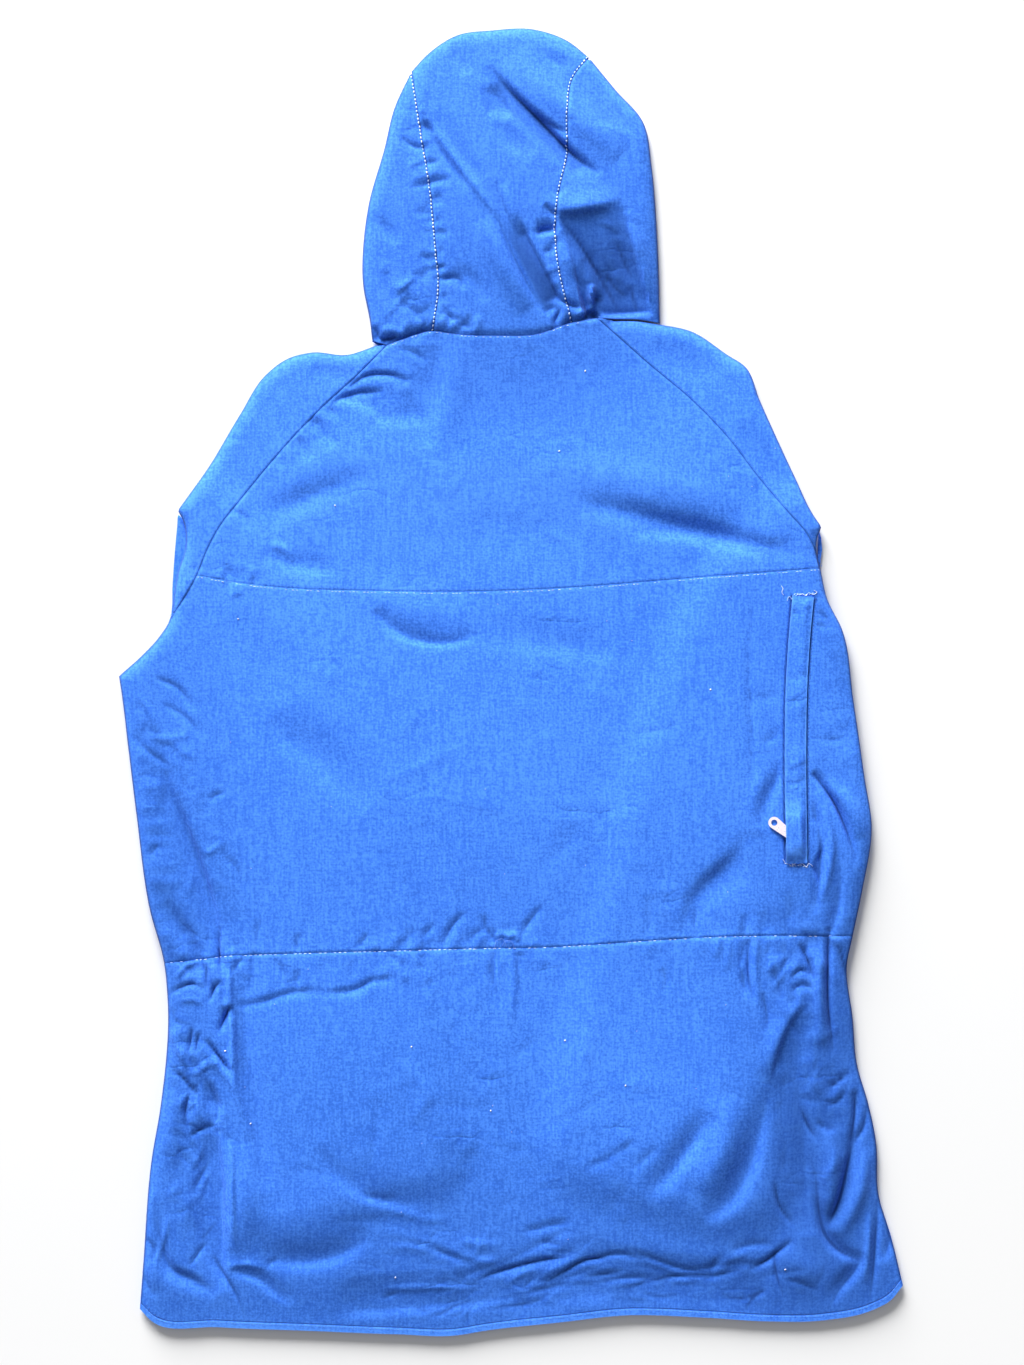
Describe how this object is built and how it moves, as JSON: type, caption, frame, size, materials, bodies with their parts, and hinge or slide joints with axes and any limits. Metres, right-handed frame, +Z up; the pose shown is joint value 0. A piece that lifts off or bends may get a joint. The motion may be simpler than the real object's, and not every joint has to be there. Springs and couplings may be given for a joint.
{
  "type": "parka",
  "caption": "Hooded parka of plain woven cloth, lying flat and face down with its sleeves folded under, with a welted side zip pocket.",
  "frame": {"origin": "on the surface the parka lies on, below the middle of its outline", "axes": "+Y from the hem to the hood, +Z up out of the back, +X to the right of the back as seen from above"},
  "size_m": [0.6662, 1.1118, 0.022],
  "materials": {
    "shell_cloth": "plain weave, matt with a faint sheen",
    "zip_tape": "woven tape",
    "zip_metal": "polished, slightly warm"
  },
  "bodies": {
    "garment": {"back_yoke": "shell_cloth", "back_middle": "shell_cloth", "back_skirt": "shell_cloth", "front_left": "shell_cloth", "front_right": "shell_cloth", "front_zip": "zip_tape", "sleeve_left": "shell_cloth", "sleeve_right": "shell_cloth", "sleeve_left_folded": "shell_cloth", "sleeve_right_folded": "shell_cloth", "hood_left": "shell_cloth", "hood_centre": "shell_cloth", "hood_right": "shell_cloth", "pocket_welt": "shell_cloth", "pocket_zip_tape": "zip_tape", "zip_slider": "zip_metal"},
    "pull": {"zip_pull": "zip_metal"}
  },
  "joints": [
    {"name": "pull_swing", "type": "hinge", "parent": "garment", "child": "pull", "pos_m": [0.2416, -0.134, 0.01835], "axis": [-0.0742, 0.0579, 0.9956], "range_deg": [-30, 25]}
  ]
}
